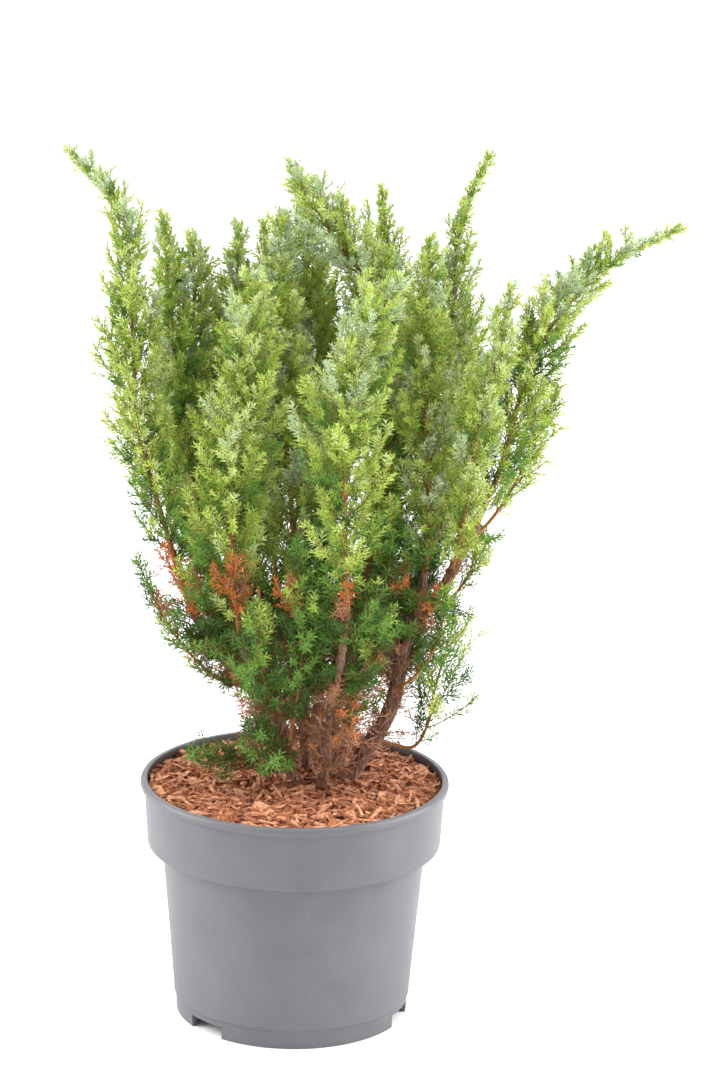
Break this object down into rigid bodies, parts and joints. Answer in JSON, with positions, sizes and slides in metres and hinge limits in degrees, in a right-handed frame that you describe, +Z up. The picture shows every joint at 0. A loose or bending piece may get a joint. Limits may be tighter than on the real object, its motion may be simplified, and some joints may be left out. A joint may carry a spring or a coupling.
{
  "type": "potted juniper shrub",
  "caption": "Evergreen juniper shrub with upright feathery plumes on branching stems, in a round plastic nursery pot topped with bark mulch.",
  "frame": {"origin": "middle of the pot's flat underside", "axes": "+Z up along the pot's axis, -Y towards the viewer at the front of the plant, +X to the right"},
  "size_m": [0.42, 0.2649, 0.622],
  "materials": {
    "pot_plastic": "grey moulded polypropylene, satin",
    "potting_soil": "dark moist potting compost",
    "bark_mulch": "reddish brown shredded bark chips",
    "bark": "rough flaking brown bark",
    "foliage": "short stiff green needles in sprays"
  },
  "bodies": {
    "root": {"bark_mulch": "bark_mulch", "bough_centre_back": "bark", "bough_far_right": "bark", "bough_left_back": "bark", "bough_middle_back": "bark", "bough_rear_far_left": "bark", "bough_rear_far_right": "bark", "bough_right": "bark", "bough_right_back": "bark", "foliage_arching": "foliage", "foliage_back_inner": "foliage", "foliage_back_left": "foliage", "foliage_centre": "foliage", "foliage_centre_back": "foliage", "foliage_far_right": "foliage", "foliage_foot": "foliage", "foliage_foot_left": "foliage", "foliage_fork_outer": "foliage", "foliage_fork_right": "foliage", "foliage_front": "foliage", "foliage_inner_left": "foliage", "foliage_inner_middle": "foliage", "foliage_inner_right": "foliage", "foliage_left": "foliage", "foliage_left_back": "foliage", "foliage_left_front": "foliage", "foliage_left_inner": "foliage", "foliage_low_front": "foliage", "foliage_low_left": "foliage", "foliage_low_middle": "foliage", "foliage_low_right": "foliage", "foliage_middle_back": "foliage", "foliage_outer_right": "foliage", "foliage_rear": "foliage", "foliage_rear_far_left": "foliage", "foliage_rear_far_right": "foliage", "foliage_rear_left": "foliage", "foliage_rear_low": "foliage", "foliage_rear_low_right": "foliage", "foliage_rear_right": "foliage", "foliage_right": "foliage", "foliage_right_back": "foliage", "foliage_right_inner": "foliage", "foliage_side_left": "foliage", "pot": "pot_plastic", "potting_soil": "potting_soil", "stem_back_left": "bark", "stem_centre": "bark", "stem_front": "bark", "stem_left": "bark", "stem_left_front": "bark", "stem_middle": "bark", "stem_rear": "bark", "stem_rear_left": "bark", "stem_rear_right": "bark", "stem_right": "bark"}
  },
  "joints": []
}
